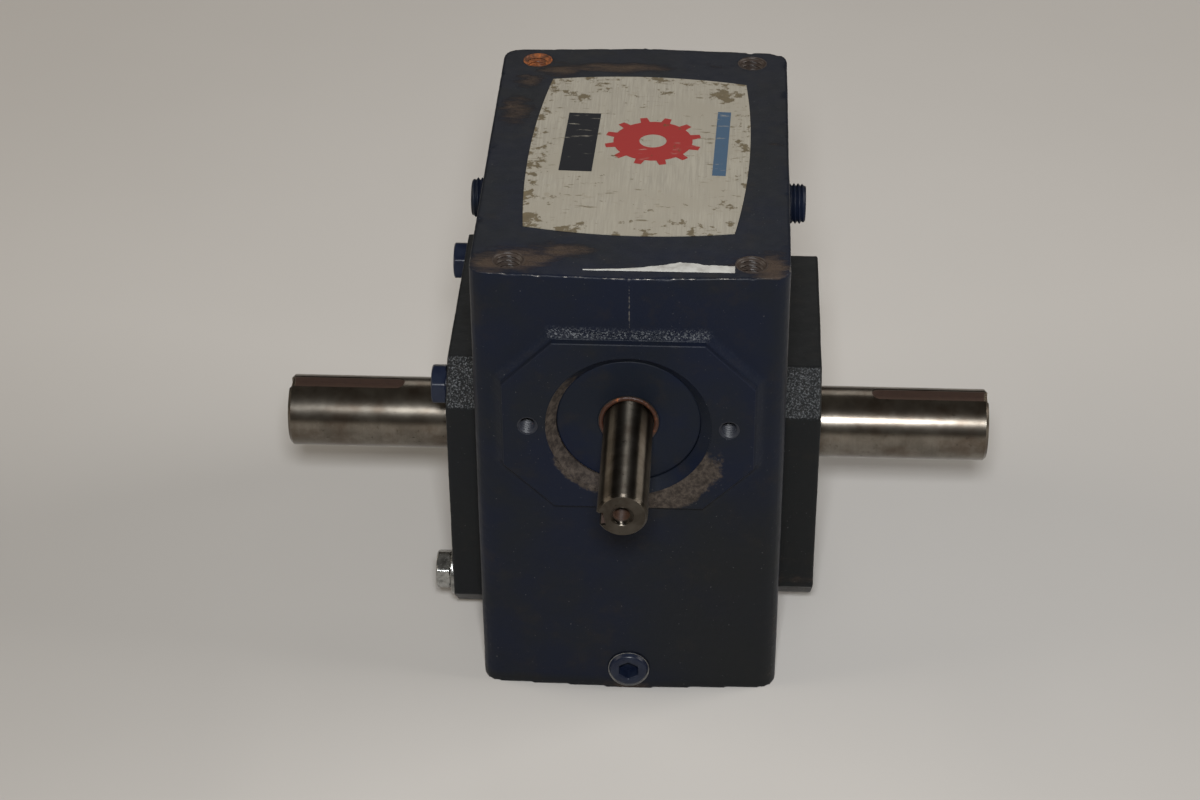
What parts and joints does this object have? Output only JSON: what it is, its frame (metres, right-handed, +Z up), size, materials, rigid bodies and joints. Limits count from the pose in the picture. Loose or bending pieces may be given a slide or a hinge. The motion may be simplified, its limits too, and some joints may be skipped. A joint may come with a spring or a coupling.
{
  "type": "worm gear reducer",
  "caption": "Right-angle worm gear reducer in a cast block housing, with a keyed input shaft in front and a keyed output shaft through both sides.",
  "frame": {"origin": "centre of the base face and of its four tapped holes", "axes": "+X along the output shaft to the right, -Y along the input shaft towards its end, +Z up"},
  "size_m": [0.2482, 0.2066, 0.1674],
  "materials": {
    "navy_paint": "semi-gloss enamel over casting",
    "cast_paint": "dark enamel over rough casting",
    "shaft_steel": "ground, lightly tarnished",
    "worm_steel": "dark oiled steel",
    "bearing_steel": "ground",
    "zinc": "zinc plated",
    "bronze": "machined bronze",
    "cast_iron": "as cast",
    "rubber": "matte",
    "sealant": "cured silicone",
    "label": "printed brushed foil"
  },
  "bodies": {
    "housing": {"housing": "navy_paint", "left_cover": "cast_paint", "cover_gasket": "sealant", "cover_bolts": "navy_paint", "replacement_bolt": "zinc", "replacement_washer": "zinc", "input_seal_case": "navy_paint", "input_seal_lip": "rubber", "input_seal_spring": "bearing_steel", "front_retaining_ring": "worm_steel", "front_outer_race": "bearing_steel", "rear_outer_race": "bearing_steel", "rear_retaining_ring": "worm_steel", "rear_end_cap": "navy_paint", "left_bearing_cup": "bearing_steel", "right_bearing_cup": "bearing_steel", "left_seal_case": "navy_paint", "left_seal_lip": "rubber", "left_seal_spring": "bearing_steel", "right_seal_case": "navy_paint", "right_seal_lip": "rubber", "right_seal_spring": "bearing_steel", "left_plug": "navy_paint", "right_plug": "navy_paint", "drain_plug": "navy_paint", "name_plate": "label"},
    "output": {"output_shaft": "shaft_steel", "wheel_key": "worm_steel", "wheel_hub": "cast_iron", "wheel_rim": "bronze", "left_spacer": "shaft_steel", "right_spacer": "shaft_steel", "left_bearing_cone": "bearing_steel", "right_bearing_cone": "bearing_steel"},
    "worm": {"worm_shaft": "worm_steel", "worm_snap_ring": "worm_steel", "front_inner_race": "bearing_steel", "rear_inner_race": "bearing_steel"},
    "left_roller_set": {"left_rollers": "bearing_steel", "left_roller_cage": "bearing_steel"},
    "right_roller_set": {"right_rollers": "bearing_steel", "right_roller_cage": "bearing_steel"},
    "front_ball_set": {"front_balls": "bearing_steel", "front_ball_cage": "bronze"},
    "rear_ball_set": {"rear_balls": "bearing_steel", "rear_ball_cage": "bronze"}
  },
  "joints": [
    {"name": "output_spin", "type": "hinge", "parent": "housing", "child": "output", "pos_m": [0, 0, 0.06], "axis": [1, 0, 0], "continuous": true},
    {"name": "input_spin", "type": "hinge", "parent": "housing", "child": "worm", "pos_m": [0, 0, 0.1124], "axis": [0, 1, 0], "continuous": true},
    {"name": "left_rollers_spin", "type": "hinge", "parent": "housing", "child": "left_roller_set", "pos_m": [-0.0473, 0, 0.06], "axis": [1, 0, 0], "continuous": true},
    {"name": "right_rollers_spin", "type": "hinge", "parent": "housing", "child": "right_roller_set", "pos_m": [0.0473, 0, 0.06], "axis": [1, 0, 0], "continuous": true},
    {"name": "front_balls_spin", "type": "hinge", "parent": "housing", "child": "front_ball_set", "pos_m": [0, -0.0598, 0.1124], "axis": [0, 1, 0], "continuous": true},
    {"name": "rear_balls_spin", "type": "hinge", "parent": "housing", "child": "rear_ball_set", "pos_m": [0, 0.0598, 0.1124], "axis": [0, 1, 0], "continuous": true}
  ],
  "couplings": [
    {"joint": "input_spin", "follows": "output_spin", "ratio": 30},
    {"joint": "left_rollers_spin", "follows": "output_spin", "ratio": 0.4321},
    {"joint": "right_rollers_spin", "follows": "output_spin", "ratio": 0.4321},
    {"joint": "front_balls_spin", "follows": "output_spin", "ratio": 11.687},
    {"joint": "rear_balls_spin", "follows": "output_spin", "ratio": 11.687}
  ]
}
